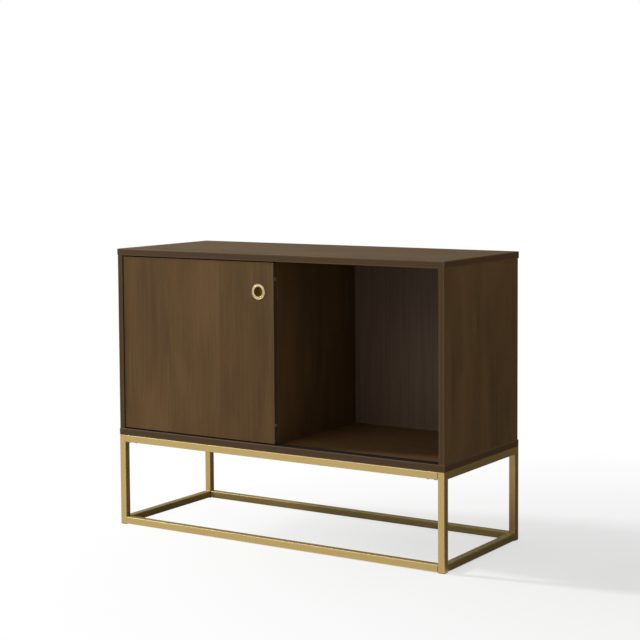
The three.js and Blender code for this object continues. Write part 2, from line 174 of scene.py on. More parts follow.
class CabinetColours(bpy.types.PropertyGroup):
    """Colours of the finishes"""

    stain_dark: colour("Dark stain", "Stain where the grain takes most of it", "#4B3721")
    stain: colour("Stain", "Stain over most of the veneer", "#5B4529")
    stain_light: colour("Light stain", "Stain on the palest streaks", "#6B5233")
    stain_warm: colour("Warm stain", "Redder clouds in the stain", "#634326")
    stain_edge: colour("Edge stain", "Stain on the bands that cover the boards' edges", "#4C3A28")
    stain_rubbed: colour("Rubbed stain", "Stain where edges are rubbed", "#6C573A")
    pore: colour("Pores", "Stain that has gathered in the open pores", "#3D2D1B")
    print_dark: colour("Dark print", "Dark streaks printed on the back board", "#5C4839")
    print_light: colour("Light print", "Ground of the print on the back board", "#64503F")
    hardboard: colour("Hardboard", "Raw rear face of the back board", "#6B4E35")
    hardboard_fleck: colour("Hardboard fleck", "Fibres in the raw rear face", "#4E3826")
    brass_paint: colour("Brass paint", "Paint of the base", "#BBA165")
    brass_rubbed: colour("Rubbed brass", "Paint and brass on rubbed edges", "#D2BF90")
    brass: colour("Brass", "Turned brass of the finger pull", "#A8946A")
    # Dull brass and painted shade: the darker colour inside the pull's bore stands partly for the
    # shade of the recess
    brass_dull_and_shade: colour("Dull brass", "Unpolished brass inside the finger pull", "#5A4424")
    black_steel: colour("Black steel", "Black oxide on bolts, sleeves and guide pins", "#2B2A29")
    zinc: colour("Zinc", "Zinc plate on axles and springs", "#B9BABC")
    black_nylon: colour("Black nylon", "Nylon of wheels and housings", "#232120")
    silicone: colour("Silicone", "Clear silicone of the bumpers", "#6E6259")
    track: colour("Track", "Dark grey extrusion of the tracks", "#1D1B18")
    foot: colour("Foot", "Moulded plastic of the foot caps", "#8A7446")
    nail: colour("Nail", "Bronzed steel of the nails in the back board", "#57493A")


class CabinetStage(bpy.types.PropertyGroup):
    """Light and floor"""

    key_power: amount("Key light", "Power of the small lamp at the left", 600, "POWER")
    fill_power: amount("Fill light", "Power of the wide lamp in front", 44, "POWER")
    sky_light: amount("Sky light", "Light from straight above, on top of the room's", 0.28)
    room_light: amount("Room light", "Level of the even light all round", 0.44)
    floor: colour("Floor", "Pale studio floor", "#E9E9E8")
    bounce: colour("Bounce", "What the floor gives back as scattered light", "#D2D2D2")
    # The cards, seen only in gloss, are painted reflections: the side card darkens the right-facing
    # sides, the lying card is the shadow under the cabinet painted into the gloss, and the rear
    # card dims the sheen of the top faces
    side_card: colour("Side card", "Card that gloss on the right sides shows", "#70521C")
    lying_card: colour("Lying card", "Card that gloss under the cabinet shows", "#26180A")
    rear_card: colour("Rear card", "Card that gloss on the top faces shows", "#8A978D")


# Surfaces

Surface = namedtuple("Surface", "points faces wear edge")


def loft(rings, wear=0.0, edge=0.0, closed=False):
    """Closed surface through rings of equally many points.

    Point (row, column) is joined to (row, column + 1) and (row + 1, column), and columns wrap
    round. A closed loft joins its last ring to its first, and any other has a flat face at each
    end. Wear and edge mark the points that are rubbed and those on a board's edge.
    """
    rows, columns = rings.shape[:2]
    number = np.arange(rows * columns).reshape(rows, columns)
    here, above = (number, np.roll(number, -1, 0)) if closed else (number[:-1], number[1:])
    quads = np.stack([here, np.roll(here, -1, 1), np.roll(above, -1, 1), above], axis=-1)
    faces = quads.reshape(-1, 4).tolist()
    if not closed:
        faces += [number[0, ::-1].tolist(), number[-1].tolist()]
    marks = (np.broadcast_to(mark, (rows, columns)).ravel() for mark in (wear, edge))
    return Surface(rings.reshape(-1, 3), faces, *marks)


def together(surfaces):
    """One surface that holds several, with their points numbered on."""
    starts = np.cumsum([0] + [len(surface.points) for surface in surfaces]).tolist()
    faces = [
        [number + start for number in face]
        for surface, start in zip(surfaces, starts)
        for face in surface.faces
    ]
    points, _, wear, edge = zip(*surfaces)
    return Surface(np.concatenate(points), faces, np.concatenate(wear), np.concatenate(edge))


# A quarter of a rounded outline as complex numbers: a point on the flat, the corner's arc, and a
# point on the next flat. Turned on by quarter turns it gives the whole outline.
CORNER_SWEEP = np.linspace(0, QUARTER, CORNER_STEPS + 1)
CORNER_NORMALS = np.exp(1j * np.r_[0, CORNER_SWEEP, QUARTER])
CORNER_HOLDS = np.r_[-1j, np.zeros(CORNER_STEPS + 1), -1]
QUARTER_TURNS = 1j ** np.arange(4)[:, None]
CORNER_SIGNS = np.array([1 + 1j, -1 + 1j, -1 - 1j, 1 - 1j])
OUTLINE_NORMALS = (QUARTER_TURNS * CORNER_NORMALS).ravel()
OUTLINE_WEAR = np.tile(np.r_[0, np.ones(CORNER_STEPS + 1), 0], 4)


def rounded_outline(half, radius, hold):
    """Rounded rectangle as complex numbers.

    Each corner is centre + radius * exp(i a), for a over a quarter turn, and its centre is set in
    from both sides by the radius. One more point on the flat at each end of the arc, a hold away
    from it, keeps the flat's shading flat.
    """
    inner = np.asarray(half) - radius
    centres = CORNER_SIGNS.real * inner[0] + 1j * CORNER_SIGNS.imag * inner[1]
    quarter = radius * CORNER_NORMALS + hold * CORNER_HOLDS
    return (QUARTER_TURNS * quarter + centres[:, None]).ravel()


def stacked(low, high, axis, insets, places, radius, hold):
    """Rings of a box's rounded section, each drawn in by its inset, at places along one axis.

    A ring's corners have the radius less its inset. A place may differ from point to point.
    """
    plane = [(axis + 1) % 3, (axis + 2) % 3]
    half, centre = (high - low) / 2, (high + low) / 2
    outlines = np.array(
        [rounded_outline(half[plane] - inset, max(radius - inset, 0), hold) for inset in insets]
    )
    rings = np.empty(outlines.shape + (3,))
    rings[..., plane[0]] = centre[plane[0]] + outlines.real
    rings[..., plane[1]] = centre[plane[1]] + outlines.imag
    rings[..., axis] = np.reshape(places, (len(insets), -1))
    return rings


def block(low, high):
    """Plain box, for a cut."""
    return loft(stacked(low, high, 2, [0, 0], [low[2], high[2]], 0, 0))


def quarter_round(radius):
    """Inset and depth of the points of an edge's rounding, from a face to the next.

    With a running from 0 to 90 degrees, the inset is radius * (1 - sin a) at a depth of
    radius * (1 - cos a) below the face.
    """
    sweep = np.linspace(0, QUARTER, EASE_STEPS + 1)
    return radius * (1 - np.sin(sweep)), radius * (1 - np.cos(sweep))


def slab(low, high, ease, band):
    """Box whose edges are rounded by the ease, with a rubbed band marked along them.

    Rounded outlines are stacked across the thickness, and drawn in near either face.
    """
    size = high - low
    axis = int(np.argmin(size))
    band = min(band, size[axis] / 2 - ease)
    inset, depth = quarter_round(ease)
    inset, depth = np.r_[ease + band, inset, 0], np.r_[0, depth, ease + band]
    marked = np.r_[0, np.ones(EASE_STEPS + 1), 0]
    places = np.r_[low[axis] + depth, high[axis] - depth[::-1]]
    rings = stacked(low, high, axis, np.r_[inset, inset[::-1]], places, ease, band)
    wear = np.maximum.outer(np.r_[marked, marked[::-1]], OUTLINE_WEAR)
    outer = np.r_[np.zeros(EASE_STEPS + 1), 1, 1]
    return loft(rings, wear, np.r_[outer, outer[::-1]][:, None])


def tube(low, high, wall, corner):
    """Square tube along the longest side of its box.

    The rims of its ends are bevelled by a fifth of the wall.
    """
    axis = int(np.argmax(high - low))
    start, end = low[axis], high[axis]
    rim = wall / 5
    insets = [0, 0, rim, wall - rim, wall, wall, wall - rim, rim]
    places = [start + rim, end - rim, end, end, end - rim, start + rim, start, start]
    rings = stacked(low, high, axis, insets, places, corner, corner / 2)
    return loft(rings, OUTLINE_WEAR, closed=True)


def spun(radius, height, centre, axis, closed=False):
    """Surface of revolution about an axis through a centre.

    The point at angle t is centre + radius * (cos t * across + sin t * aside) + height * axis,
    where across and aside are square to the axis. Radius and height have a value for each row
    and column.
    """
    across = np.roll(axis, 1)
    aside = np.cross(axis, across)
    angle = np.linspace(0, TURN, radius.shape[1], endpoint=False)
    around = np.cos(angle)[:, None] * across + np.sin(angle)[:, None] * aside
    rings = centre + radius[..., None] * around + height[..., None] * axis
    return loft(rings, closed=closed)


def turned(profile, centre, axis, columns=SMALL_COLUMNS, closed=False):
    """Piece turned about an axis from a profile of radius and height."""
    radius, height = np.repeat(np.array(profile, float).T[..., None], columns, axis=2)
    return spun(radius, height, np.array(centre), axis, closed)


def eased(points, radii):
    """Outline with its corners rounded.

    Each corner c gives way to the curve (1 - t)^2 a + 2 t (1 - t) c + t^2 b. Its ends a and b lie
    on the two sides, at the corner's radius from it, or nearly half way along a shorter side.
    """
    points = np.array(points, float)
    reach = np.broadcast_to(radii, len(points))[:, None]
    ends = []
    for shift in (1, -1):
        side = np.roll(points, shift, 0) - points
        span = np.maximum(np.linalg.norm(side, axis=1, keepdims=True), WELD)
        ends.append(points + side / span * np.minimum(reach, 0.49 * span))
    t = np.linspace(0, 1, FILLET_STEPS + 1)[:, None]
    before, after = (end[:, None] for end in ends)
    curve = (1 - t) ** 2 * before + 2 * t * (1 - t) * points[:, None] + t**2 * after
    return curve.reshape(-1, 2)


def rod(radius, start, end, centre, axis, columns=SMALL_COLUMNS, edge=0):
    """Round rod between two heights along an axis, with its rims rounded by the edge."""
    profile = [(0, start), (radius, start), (radius, end), (0, end)]
    if edge:
        profile = eased(profile, [0, edge, edge, 0])
    return turned(profile, centre, axis, columns)


def extruded(outline, start, end):
    """Section of Y and Z carried straight along X."""
    rings = np.empty((2, len(outline), 3))
    rings[..., 0] = [[start], [end]]
    rings[..., 1:] = outline
    return loft(rings)


# Pieces


def corners(node):
    """Lowest and highest corner of a node."""
    return np.array(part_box(node))


def middle(node):
    """Centre of a node's box."""
    return sum(corners(node)) / 2


def half_size(node):
    """Half of the size of a node's box."""
    low, high = corners(node)
    return (high - low) / 2


def bolt_hole(kind, corner):
    """Round cut for a bolt, from below its head to just past its tip."""
    low, high = corners(f"{kind}_bolt_{corner}")
    radius = bpy.context.scene.cabinet_sizes.shank_radius + LOOSE
    return rod(radius, -OVERRUN, high[2] + LOOSE - low[2], [*(low + high)[:2] / 2, low[2]], Z_AXIS)


def mesh_of(surface):
    """Mesh of a closed surface, with coincident points made one and its faces turned outwards."""
    mesh = bpy.data.meshes.new("piece")
    mesh.from_pydata(surface.points.tolist(), [], surface.faces)
    for mark in ("wear", "edge"):
        values = getattr(surface, mark).astype(np.float32)
        mesh.attributes.new(mark, "FLOAT", "POINT").data.foreach_set("value", values)
    shape = bmesh.new()
    shape.from_mesh(mesh)
    bmesh.ops.remove_doubles(shape, verts=shape.verts, dist=WELD)
    bmesh.ops.recalc_face_normals(shape, faces=shape.faces)
    shape.to_mesh(mesh)
    shape.free()
    return mesh


def shown(name, data, place=Matrix()):
    """New object in the scene that shows its data at a place."""
    thing = bpy.data.objects.new(name, data)
    thing.matrix_world = place
    bpy.context.scene.collection.objects.link(thing)
    return thing


def carved(surface, cuts):
    """Mesh of a surface less the closed surfaces that cut it."""
    mesh = mesh_of(surface)
    if not cuts:
        return mesh
    whole, *knives = things = [shown("cut", part) for part in (mesh, *map(mesh_of, cuts))]
    for knife in knives:
        cut = whole.modifiers.new("Cut", "BOOLEAN")
        cut.operation = "DIFFERENCE"
        cut.solver = "EXACT"
        cut.object = knife
    ready = whole.evaluated_get(bpy.context.evaluated_depsgraph_get())
    left = bpy.data.meshes.new_from_object(ready)
    for thing in things:
        spent = thing.data
        bpy.data.objects.remove(thing)
        bpy.data.meshes.remove(spent)
    return left


def add_piece(name, mesh, finish, body):
    """Shows a mesh as a piece that rides on a body."""
    mesh.name = name
    mesh.polygons.foreach_set("use_smooth", np.ones(len(mesh.polygons), bool))
    mesh.set_sharp_from_angle(angle=SHARP_ANGLE)
    mesh.materials.clear()
    mesh.materials.append(material(finish))
    piece = shown(name, mesh)
    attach(piece, body)
    return piece


def dress(node, suffix, surface, finish, cuts=(), flats=True):
    """Shows a surface, less its cuts, as the piece that stands for a node.

    Where it has flats beside its rounded edges, a modifier keeps their shading flat.
    """
    mesh = carved(surface, cuts)
    piece = add_piece(f"{node}_{suffix}", mesh, finish, BODY_OF[node])
    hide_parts(node)
    if flats:
        piece.modifiers.new("Flats", "WEIGHTED_NORMAL").keep_sharp = True
    return piece


def add_board(node, ease, finish, cuts=()):
    """Shows a veneered board, with a number that picks the log its veneer came from."""
    board = slab(*corners(node), ease, bpy.context.scene.cabinet_sizes.rubbed_band)
    mesh = dress(node, "board", board, finish, cuts).data
    number = LEAVES * list(SLOT_OF).index(node)
    values = np.full(len(mesh.vertices), number, np.float32)
    mesh.attributes.new("board", "FLOAT", "POINT").data.foreach_set("value", values)


# Materials

# Leaves of veneer lie side by side on a board, this wide in mm, and no board has more of them
LEAF_WIDTH = 165
LEAVES = 10
# Growth rings are this far apart in mm, and the figure bends them by this many of them
RING_WIDTH = 16
RING_BEND = 3
# Tool marks of a lathe are drawn this far apart in mm
TOOL_MARK = 0.4
# Die lines of extruded stock are this many times as long as they are wide
DIE_LINE = 40

# Inputs and output of a Mix node that works on colours
MIX_FACTOR, MIX_FIRST, MIX_SECOND, MIXED = 0, 6, 7, 2
WHITE = (1, 1, 1)


def add_node(tree, kind, inputs=None, out=0, stops=None, **settings):
    """Adds a node with its settings, its inputs as values or links, and a ramp's stops.

    It gives the output that is asked for, or the node where that is None.
    """
    node = tree.nodes.new("ShaderNode" + kind)
    for name, value in settings.items():
        setattr(node, name, value)
    for socket, value in (inputs or {}).items():
        entry = node.inputs[socket]
        if isinstance(value, bpy.types.NodeSocket):
            tree.links.new(value, entry)
        else:
            entry.default_value = (*value, 1) if entry.type == "RGBA" else value
    if stops:
        elements = node.color_ramp.elements
        elements.remove(elements[-1])
        for at, (position, shade) in enumerate(stops):
            element = elements.new(position) if at else elements[0]
            element.position = position
            element.color = (*shade, 1)
    return node if out is None else node.outputs[out]


def layered(tree, base, layers):
    """A value plus each layer times its weight."""
    total = base
    for layer, weight in layers:
        total = add_node(tree, "Math", {0: layer, 1: weight, 2: total}, operation="MULTIPLY_ADD")
    return total


def coated(tree, shade, coats):
    """A colour under coats of other colours, each as thick as its factor says."""
    for factor, coat in coats:
        pair = {MIX_FACTOR: factor, MIX_FIRST: shade, MIX_SECOND: coat}
        shade = add_node(tree, "Mix", pair, MIXED, data_type="RGBA")
    return shade


def drawn_out(tree, place, grain, along, across, detail=3, distortion=0):
    """Noise whose features measure along the grain's axis and across it, in mm."""
    scale = [1 / ((along if axis == grain else across) * MM) for axis in range(3)]
    spread = add_node(tree, "Mapping", {"Vector": place, "Scale": scale})
    noise = {"Vector": spread, "Scale": 1.0, "Detail": detail, "Distortion": distortion}
    return add_node(tree, "TexNoise", noise)


def material(name):
    """The named finish, made the first time that a piece asks for it.

    Its function gives its colour, its roughness, and its bump's height, strength and depth in mm.
    """
    made = bpy.data.materials.get(name)
    if made:
        return made
    make, settings, values = FINISHES[name]
    made = bpy.data.materials.new(name)
    made.use_nodes = True
    tree = made.node_tree
    shader = tree.nodes["Principled BSDF"].inputs
    for socket, value in values.items():
        shader[socket].default_value = value
    place = add_node(tree, "TexCoord", out="Object")
    colours = bpy.context.scene.cabinet_colours
    shade, rough, height, strength, depth = make(tree, place, colours, *settings)
    relief = {"Height": height, "Strength": strength, "Distance": depth * MM}
    tree.links.new(shade, shader["Base Color"])
    tree.links.new(rough, shader["Roughness"])
    tree.links.new(add_node(tree, "Bump", relief), shader["Normal"])
    return made


def stained_veneer(tree, place, colours, grain, across):
    """Walnut veneer, sanded, stained and sprayed with satin lacquer.

    It gives an even warm brown with faint streaks and short dark pores along the grain, leaves of
    veneer that differ a little side by side, and a soft sheen at a low angle.
    """
    board, wear, edge = (
        add_node(tree, "Attribute", out="Fac", attribute_name=mark)
        for mark in ("board", "wear", "edge")
    )

    # Each leaf is cut from another place in the log
    breadth = add_node(tree, "SeparateXYZ", {0: place}, across)
    leaves = {0: breadth, 1: 1 / (LEAF_WIDTH * MM), 2: board}
    leaf = add_node(tree, "Math", leaves, operation="MULTIPLY_ADD")
    leaf = add_node(tree, "Math", {0: leaf}, operation="FLOOR")
    chance = add_node(tree, "TexWhiteNoise", {"W": leaf}, noise_dimensions="1D")
    cut = add_node(tree, "VectorMath", {0: place, 1: chance}, operation="ADD")

    # Length and width in mm, detail and distortion of the figure, of streaks, of pores, and of
    # clouds where the stain took unevenly. Real pores are a fifth of a millimetre wide, and are
    # drawn three times that.
    figure, streak, pore, cloud = (
        drawn_out(tree, cut, grain, *pattern)
        for pattern in ((420, 80, 3, 0.8), (130, 2.6, 2, 0.2), (8, 0.6, 1, 0), (190, 120, 3, 0.4))
    )
    phase = layered(tree, 0.0, [(breadth, TURN / (RING_WIDTH * MM)), (figure, RING_BEND * TURN)])
    ring = add_node(tree, "Math", {0: phase}, operation="SINE")

    tone = layered(tree, 0.11, [(figure, 0.5), (streak, 0.22), (ring, 0.014), (chance, 0.05)])
    stops = [(0.34, colours.stain_dark), (0.5, colours.stain), (0.68, colours.stain_light)]
    stain = add_node(tree, "ValToRGB", {0: tone}, stops=stops)
    clouded, open_pore = (
        add_node(
            tree, "MapRange", {"Value": noise, "From Min": low, "From Max": high, "To Max": most}
        )
        for noise, low, high, most in ((cloud, 0.42, 0.68, 0.4), (pore, 0.58, 0.68, 0.3))
    )
    rubbed = add_node(tree, "Math", {0: wear, 1: streak}, operation="MULTIPLY")
    coats = [
        (clouded, colours.stain_warm), (edge, colours.stain_edge),
        (open_pore, colours.pore), (rubbed, colours.stain_rubbed),
    ]
    shade = coated(tree, stain, coats)
    rough = layered(tree, 0.36, [(streak, 0.14), (cloud, 0.08)])
    height = layered(tree, 0.0, [(streak, 0.5), (open_pore, -2.0)])
    return shade, rough, height, 0.3, 0.1


def printed_hardboard(tree, place, colours):
    """Hardboard, printed with a dark wood figure on its front face and raw on its rear face.

    It gives a flat brown, faintly streaked, inside the bays, and a flecked fibrous brown at the
    back.
    """
    depth = add_node(tree, "SeparateXYZ", {0: place}, 1)
    raw = add_node(tree, "Math", {0: depth, 1: middle("back_panel")[1]}, operation="GREATER_THAN")

    # Length and width of the printed figure in mm, then of the fibres
    shades = []
    for along, across, low, high in (
        (260, 9, colours.print_dark, colours.print_light),
        (2, 1.2, colours.hardboard_fleck, colours.hardboard),
    ):
        fibres = drawn_out(tree, place, 2, along, across)
        shades.append(add_node(tree, "ValToRGB", {0: fibres}, stops=[(0.35, low), (0.65, high)]))
    faces = {MIX_FACTOR: raw, MIX_FIRST: shades[0], MIX_SECOND: shades[1]}
    shade = add_node(tree, "Mix", faces, MIXED, data_type="RGBA")
    rough = add_node(tree, "Math", {0: raw, 1: 0.3, 2: 0.5}, operation="MULTIPLY_ADD")
    return shade, rough, fibres, 0.3, 0.05


def sprayed_brass_paint(tree, place, colours):
    """Brass-coloured metallic paint sprayed on steel tube, satin.

    It gives a muted gold with a broad soft highlight, fine orange peel and paler rubbed corners.
    """
    wear = add_node(tree, "Attribute", out="Fac", attribute_name="wear")

    # Drift of the spray, scuffs and orange peel, by their size in mm
    drift, scuff, peel = (
        add_node(tree, "TexNoise", {"Vector": place, "Scale": 1 / (size * MM), "Detail": 2})
        for size in (60, 9, 1.1)
    )
    rubbed = add_node(tree, "Math", {0: wear, 1: scuff}, operation="MULTIPLY")
    worn = layered(tree, 0.0, [(rubbed, 0.7), (drift, 0.12)])
    tints = {MIX_FACTOR: worn, MIX_FIRST: colours.brass_paint, MIX_SECOND: colours.brass_rubbed}
    shade = add_node(tree, "Mix", tints, MIXED, data_type="RGBA")
    return shade, layered(tree, 0.36, [(scuff, 0.1), (drift, 0.06)]), peel, 0.25, 0.03


def turned_brass(tree, place, colours):
    """Brass turned on a lathe and clear lacquered.

    It gives a pale warm gold, with fine rings round the pull that spread its highlights. Inside
    the bore it is darker: dull brass, with the shade of the recess painted in. Real tool marks
    are a tenth of a millimetre apart, and are drawn four times that.
    """
    x, _, z = middle("finger_cup")
    front_on = {"Vector": place, "Location": (-x, 0, -z), "Scale": (1, 0, 1)}
    flat = add_node(tree, "Mapping", front_on)
    away = add_node(tree, "VectorMath", {0: flat}, "Value", operation="LENGTH")
    phase = add_node(tree, "Math", {0: away, 1: TURN / (TOOL_MARK * MM)}, operation="MULTIPLY")
    ring = add_node(tree, "Math", {0: phase}, operation="SINE")
    smear = add_node(tree, "TexNoise", {"Vector": place, "Scale": 1 / (7 * MM), "Detail": 3})
    bore = bpy.context.scene.cabinet_sizes.cup_bore
    # Inside the bore the brass is darker: dull brass, with the shade of the recess painted in
    reach = {"Value": away, "From Min": bore, "From Max": bore - LOOSE}
    inside = add_node(tree, "MapRange", reach)
    coats = [(smear, colours.brass_rubbed), (inside, colours.brass_dull_and_shade)]
    shade = coated(tree, colours.brass, coats)
    rough = add_node(tree, "Math", {0: smear, 1: 0.16, 2: 0.3}, operation="MULTIPLY_ADD")
    return shade, rough, ring, 0.15, 0.02


def plain_stock(tree, place, colours, shade, size, spread, rough, depth, grain=None):
    """Stock of one colour: plated or blackened steel, moulded or extruded plastic.

    Noise of the given size in mm, drawn out along the grain's axis where there is one, shifts the
    colour and the gloss a little, and gives the surface a tooth of the given depth in mm.
    """
    tooth = drawn_out(tree, place, grain, DIE_LINE * size, size)
    base = Vector(getattr(colours, shade))
    stops = [(0.3, base * (1 - spread)), (0.7, base * (1 + spread))]
    shade = add_node(tree, "ValToRGB", {0: tooth}, stops=stops)
    rough = add_node(tree, "Math", {0: tooth, 1: 0.12, 2: rough}, operation="MULTIPLY_ADD")
    return shade, rough, tooth, 0.3, depth


# Each finish: the function that makes it, what the function takes, and values for the shader's
# own sockets. Veneer takes the axis of its grain, and the axis that its leaves lie side by side
# along. Plain stock takes its colour, the size of its noise in mm, the share of the colour that
# this adds or takes away, the roughness, the depth of its tooth in mm, and the axis of its grain
# where there is one.
GLOSS = "Specular IOR Level"
FINISHES = {
    "walnut_veneer_lengthways": (stained_veneer, (0, 1), {GLOSS: 0.09}),
    "walnut_veneer_upright_side": (stained_veneer, (2, 1), {GLOSS: 0.09}),
    "walnut_veneer_upright_front": (stained_veneer, (2, 0), {GLOSS: 0.09}),
    "printed_hardboard": (printed_hardboard, (), {GLOSS: 0.25}),
    "sprayed_brass_paint": (sprayed_brass_paint, (), {"Metallic": 0.75, GLOSS: 0.1}),
    "turned_brass": (turned_brass, (), {"Metallic": 1.0}),
    # Near black, with a dull oily gloss
    "black_oxide_steel": (plain_stock, ("black_steel", 0.8, 0.2, 0.34, 0.01), {"Metallic": 0.9}),
    # Cool grey metal, faintly clouded
    "zinc_plated_steel": (plain_stock, ("zinc", 1.5, 0.08, 0.26, 0.01), {"Metallic": 1.0}),
    # Black with a dull skin
    "black_nylon": (plain_stock, ("black_nylon", 0.5, 0.1, 0.42, 0.02), {}),
    # Soft, milky and slightly see-through
    "clear_silicone": (
        plain_stock, ("silicone", 1, 0.03, 0.2, 0.01), {"Transmission Weight": 0.25, "IOR": 1.41}
    ),
    # Dark neutral grey, with die lines along its length
    "extruded_grey_plastic": (plain_stock, ("track", 0.4, 0.12, 0.36, 0.02, 0), {GLOSS: 0.1}),
    # Dull gold-brown, with a light spark-eroded texture
    "moulded_polyethylene": (plain_stock, ("foot", 0.35, 0.08, 0.5, 0.03), {}),
    # Dark brown metal
    "bronzed_steel": (plain_stock, ("nail", 0.6, 0.15, 0.4, 0.01), {"Metallic": 0.9}),
}


# Operators, one for each piece or group of like pieces


class CABINET_OT_box(bpy.types.Operator):
    """Make the top and bottom panels, the sides and the divider"""

    bl_idname = "cabinet.box"
    bl_label = "Box"

    def execute(self, context):
        sizes = context.scene.cabinet_sizes
        low, high = corners("top_track")
        groove = block(low - [SLIP, SLIP, OVERRUN], high + SLIP)
        holes = [bolt_hole("panel", corner) for corner in BASE_CORNERS]
        for node, cuts in (("top_panel", [groove]), ("bottom_panel", holes)):
            add_board(node, sizes.slab_ease, "walnut_veneer_lengthways", cuts)
        for node in ("left_side_panel", "right_side_panel", "center_divider"):
            add_board(node, sizes.board_ease, "walnut_veneer_upright_side")
        return {"FINISHED"}


class CABINET_OT_back(bpy.types.Operator):
    """Make the back board and the nails that hold it"""

    bl_idname = "cabinet.back"
    bl_label = "Back board"

    # Nails into each upright, and how far the outer ones are from the board's ends
    NAILS = 5
    END_DISTANCE = 24 * MM
    # A nail's head, and the dimple that it lies in
    HEAD_RADIUS = 2.2 * MM
    HEAD_RISE = 0.4 * MM
    DIMPLE_RADIUS = 2.6 * MM
    DIMPLE_DEPTH = 0.5 * MM

    def execute(self, context):
        sizes = context.scene.cabinet_sizes
        low, high = corners("back_panel")
        # The board meets the panels above and below, and no light gets past it
        low[2], high[2] = corners("bottom_panel")[1][2], corners("top_panel")[0][2]
        uprights = ("left_side_panel", "center_divider", "right_side_panel")
        levels = np.linspace(low[2] + self.END_DISTANCE, high[2] - self.END_DISTANCE, self.NAILS)
        places = [(middle(node)[0], high[1], z) for node in uprights for z in levels]
        dimple = [
            (0, -self.DIMPLE_DEPTH), (self.HEAD_RADIUS, -self.DIMPLE_DEPTH),
            (self.DIMPLE_RADIUS, 0), (self.DIMPLE_RADIUS, OVERRUN), (0, OVERRUN),
        ]
        sweep = np.linspace(0, QUARTER, FILLET_STEPS + 1)
        radius = np.r_[0, self.HEAD_RADIUS * np.cos(sweep)]
        height = np.r_[0, self.HEAD_RISE * np.sin(sweep)] - self.DIMPLE_DEPTH
        dimples, heads = (
            together([turned(profile, place, Y_AXIS) for place in places])
            for profile in (dimple, np.column_stack([radius, height]))
        )
        board = slab(low, high, sizes.back_ease, sizes.rubbed_band)
        dress("back_panel", "board", board, "printed_hardboard", [dimples])
        body = BODY_OF["back_panel"]
        add_piece("back_panel_nails", mesh_of(heads), "bronzed_steel", body)
        return {"FINISHED"}


class CABINET_OT_tracks(bpy.types.Operator):
    """Make the track on the floor of the box and the one in the top panel"""

    bl_idname = "cabinet.tracks"
    bl_label = "Tracks"

    # Lower track: floor, a lip along each edge, and ribs beside the wheels' lane
    FLOOR = 1 * MM
    LIP = 1.2 * MM
    RIB = 1 * MM
    RIB_RISE = 1.8 * MM
    LANE = 6 * MM
    # Upper track
    CHANNEL_WALL = 1.2 * MM
    EDGE = 0.22 * MM

    def execute(self, context):
        _, edge, rise = half_size("bottom_track") * [1, 1, 2]
        lane = self.LANE / 2
        rib, lip = lane + self.RIB, edge - self.LIP
        strip = [
            (lane, self.FLOOR), (lane, self.RIB_RISE), (rib, self.RIB_RISE),
            (rib, self.FLOOR), (lip, self.FLOOR), (lip, rise), (edge, rise), (edge, 0),
        ]
        _, edge, rise = half_size("top_track") * [1, 1, 2]
        inner, ceiling = edge - self.CHANNEL_WALL, rise - self.CHANNEL_WALL
        channel = [(inner, ceiling), (inner, 0), (edge, 0), (edge, rise)]
        for node, section in (("bottom_track", strip), ("top_track", channel)):
            low, high = corners(node)
            outline = eased(np.vstack([section[::-1] * np.array([-1, 1]), section]), self.EDGE)
            outline += [middle(node)[1], low[2]]
            dress(node, "strip", extruded(outline, low[0], high[0]), "extruded_grey_plastic")
        return {"FINISHED"}


class CABINET_OT_door(bpy.types.Operator):
    """Make the door panel with its hole for the pull and its recesses for the running gear"""

    bl_idname = "cabinet.door"
    bl_label = "Door panel"

    def execute(self, context):
        sizes = context.scene.cabinet_sizes
        low, high = corners("door_panel")
        x, _, z = middle("finger_cup")
        radius = sizes.cup_bore + sizes.cup_wall + LOOSE
        depth = corners("finger_cup")[1][1] + LOOSE - low[1]
        cuts = [rod(radius, -OVERRUN, depth, (x, low[1], z), Y_AXIS, CUP_COLUMNS)]
        for end in ENDS:
            case_low, case_high = corners(f"roller_housing_{end}")
            cuts.append(block(case_low - [LOOSE, LOOSE, OVERRUN], case_high + LOOSE))
            node = f"guide_housing_{end}"
            x, y, _ = middle(node)
            foot = corners(node)[0][2] - LOOSE
            radius, depth = half_size(node)[0] + LOOSE, high[2] + OVERRUN - foot
            cuts.append(rod(radius, 0, depth, (x, y, foot), Z_AXIS))
        add_board("door_panel", sizes.board_ease, "walnut_veneer_upright_front", cuts)
        return {"FINISHED"}


class CABINET_OT_finger_cup(bpy.types.Operator):
    """Make the round finger pull"""

    bl_idname = "cabinet.finger_cup"
    bl_label = "Finger pull"

    # Heights outwards from the door's face
    SEAT = 0.1 * MM
    RISE = 1.2 * MM
    BEAD_RISE = 0.5 * MM
    GROOVE_DEPTH = 0.5 * MM
    # Top and foot of the bead, floor and outer edge of the groove, as shares of the way from the
    # bore to the rim
    FACE_SHARES = (0.3, 0.56, 0.64, 0.72)
    # Radii of the profile's corners in mm, from the middle of the back to the middle of the floor
    CORNERS = (0, 0.4, 0, 0, 0.7, 0.25, 0.3, 0.3, 1.2, 0.6, 1.6, 0)

    def execute(self, context):
        sizes = context.scene.cabinet_sizes
        face = corners("door_panel")[0][1]
        rim, back = half_size("finger_cup")[0], face - corners("finger_cup")[1][1]
        bore, body = sizes.cup_bore, sizes.cup_bore + sizes.cup_wall
        floor = back + sizes.cup_wall
        bead_top, bead_foot, groove, groove_edge = bore + np.array(self.FACE_SHARES) * (rim - bore)
        profile = [
            (0, back), (body, back), (body, self.SEAT), (rim, self.SEAT), (rim, self.RISE),
            (groove_edge, self.RISE), (groove, self.RISE - self.GROOVE_DEPTH),
            (bead_foot, self.RISE), (bead_top, self.RISE + self.BEAD_RISE),
            (bore, self.RISE), (bore, floor), (0, floor),
        ]
        x, _, z = middle("finger_cup")
        outline = eased(profile, MM * np.array(self.CORNERS))
        turning = turned(outline, (x, face, z), -Y_AXIS, CUP_COLUMNS)
        dress("finger_cup", "turning", turning, "turned_brass")
        return {"FINISHED"}


